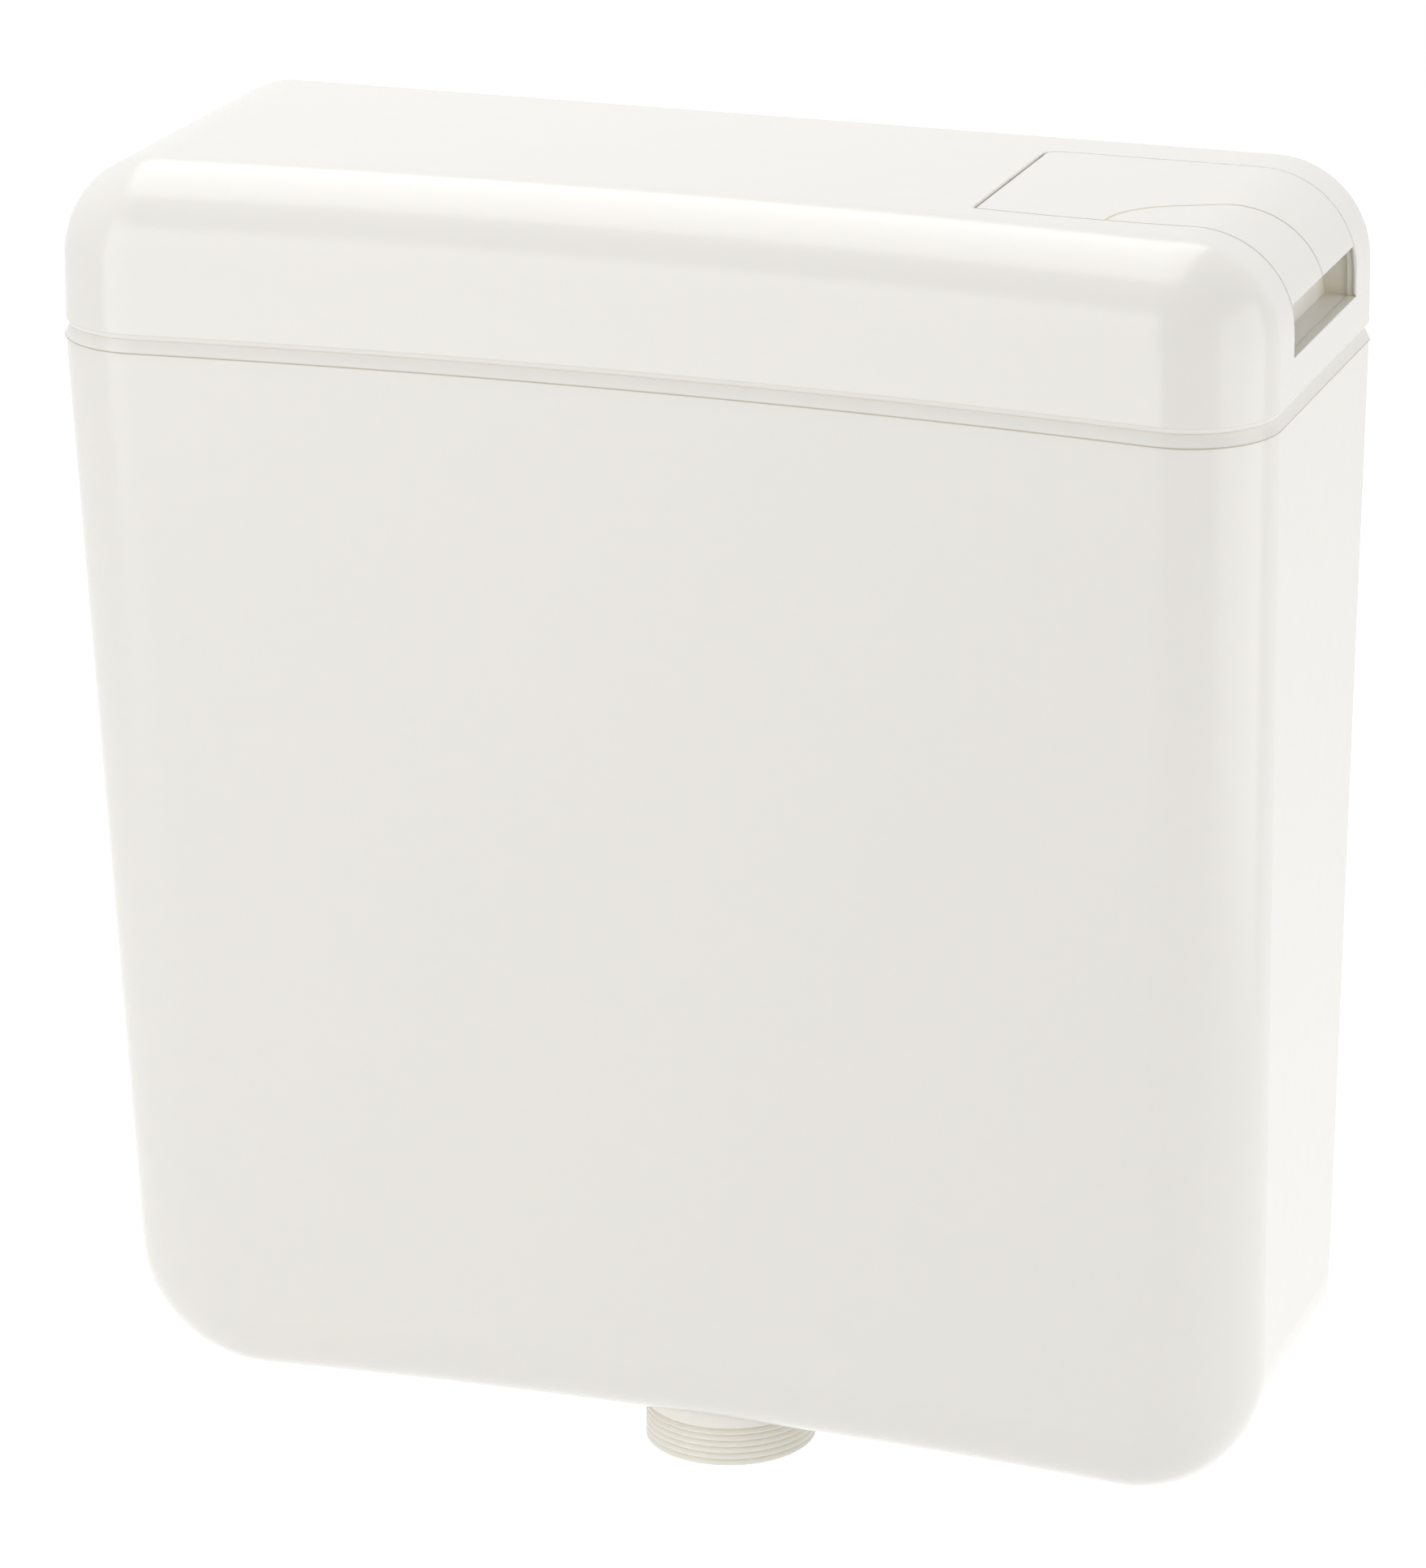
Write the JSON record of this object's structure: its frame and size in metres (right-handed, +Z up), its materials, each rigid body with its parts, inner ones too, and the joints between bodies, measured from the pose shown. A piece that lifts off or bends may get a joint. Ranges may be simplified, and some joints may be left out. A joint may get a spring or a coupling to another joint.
{
  "type": "toilet cistern",
  "caption": "Wall-hung plastic toilet cistern with a lift-off lid, dual flush levers set in the lid's corner, side water inlet and threaded bottom outlet",
  "frame": {"origin": "on the outlet's axis, at the lower end of the threaded outlet", "axes": "+Z up along the outlet's axis, +Y towards the wall the cistern hangs on, +X to the right along the wall, so that -Y is the front"},
  "size_m": [0.4395, 0.1466, 0.4597],
  "materials": {
    "casing": "glossy moulded shell, cream white",
    "lever": "glossy moulded lever, cream white",
    "housing": "satin moulded tray",
    "foam": "bead foam",
    "fitting_white": "satin white moulding",
    "fitting_grey": "satin grey moulding",
    "fitting_blue": "blue moulding",
    "seal": "black rubber",
    "silicone": "red silicone",
    "steel": "stainless steel",
    "brass": "turned brass",
    "float_foam": "closed float"
  },
  "bodies": {
    "cistern": {"tank": "casing", "insulation_liner": "foam", "bridge_frame": "fitting_white", "bridge_screws": "steel", "rocker_pin": "steel", "seat_gasket": "seal", "valve_seat": "fitting_white", "valve_cage": "fitting_grey", "fill_valve_body": "brass", "inlet_washer": "seal", "inlet_nut": "fitting_white", "valve_cap": "fitting_grey", "diaphragm": "silicone", "arm_pin": "steel", "silencer_tube": "fitting_white"},
    "cover": {"lid": "casing", "lever_housing": "housing", "housing_screws": "steel", "lever_pin": "steel"},
    "full_lever": {"full_flush_lever": "lever"},
    "half_lever": {"half_flush_lever": "lever"},
    "full_rocker_arm": {"full_rocker": "fitting_blue"},
    "half_rocker_arm": {"half_rocker": "fitting_grey"},
    "flush_valve": {"overflow_tube": "fitting_white", "main_seal": "silicone", "seal_retainer": "fitting_grey", "lift_head": "fitting_blue"},
    "half_valve": {"half_flush_sleeve": "fitting_grey", "sleeve_seal": "silicone", "half_lift_rod": "fitting_white"},
    "float_lever": {"float_arm": "fitting_white", "level_screw": "fitting_grey", "float": "float_foam"},
    "fill_plunger": {"plunger": "fitting_white"}
  },
  "joints": [
    {"name": "lid_lift", "type": "slide", "parent": "cistern", "child": "cover", "axis": [0, 0, 1], "range_m": [0, 0.15]},
    {"name": "full_flush_press", "type": "hinge", "parent": "cover", "child": "full_lever", "pos_m": [0.104, 0, 0.4504], "axis": [0, 1, 0], "range_deg": [0, 7], "stiffness_Nm_per_rad": 0.6, "springref_deg": -6.88},
    {"name": "half_flush_press", "type": "hinge", "parent": "cover", "child": "half_lever", "pos_m": [0.104, 0, 0.4504], "axis": [0, 1, 0], "range_deg": [0, 7], "stiffness_Nm_per_rad": 0.4, "springref_deg": -6.88},
    {"name": "full_rocker_turn", "type": "hinge", "parent": "cistern", "child": "full_rocker_arm", "pos_m": [0.112, 0, 0.4144], "axis": [0, 1, 0], "range_deg": [0, 8.48]},
    {"name": "half_rocker_turn", "type": "hinge", "parent": "cistern", "child": "half_rocker_arm", "pos_m": [0.112, 0, 0.4144], "axis": [0, 1, 0], "range_deg": [0, 8.48]},
    {"name": "flush_valve_lift", "type": "slide", "parent": "cistern", "child": "flush_valve", "axis": [0, 0, 1], "range_m": [0, 0.0168]},
    {"name": "half_valve_lift", "type": "slide", "parent": "flush_valve", "child": "half_valve", "axis": [0, 0, 1], "range_m": [0, 0.0168]},
    {"name": "float_swing", "type": "hinge", "parent": "cistern", "child": "float_lever", "pos_m": [-0.13604, 0.006, 0.3384], "axis": [0, 1, 0], "range_deg": [0, 22]},
    {"name": "plunger_slide", "type": "slide", "parent": "cistern", "child": "fill_plunger", "axis": [1, 0, 0], "range_m": [0, 0.0031]}
  ],
  "couplings": [
    {"joint": "full_rocker_turn", "follows": "full_flush_press", "ratio": 1.21},
    {"joint": "half_rocker_turn", "follows": "half_flush_press", "ratio": 1.21},
    {"joint": "flush_valve_lift", "follows": "full_flush_press", "m_per_rad": 0.13669},
    {"joint": "half_valve_lift", "follows": "half_flush_press", "m_per_rad": 0.13669},
    {"joint": "plunger_slide", "follows": "float_swing", "m_per_rad": 0.007813}
  ]
}
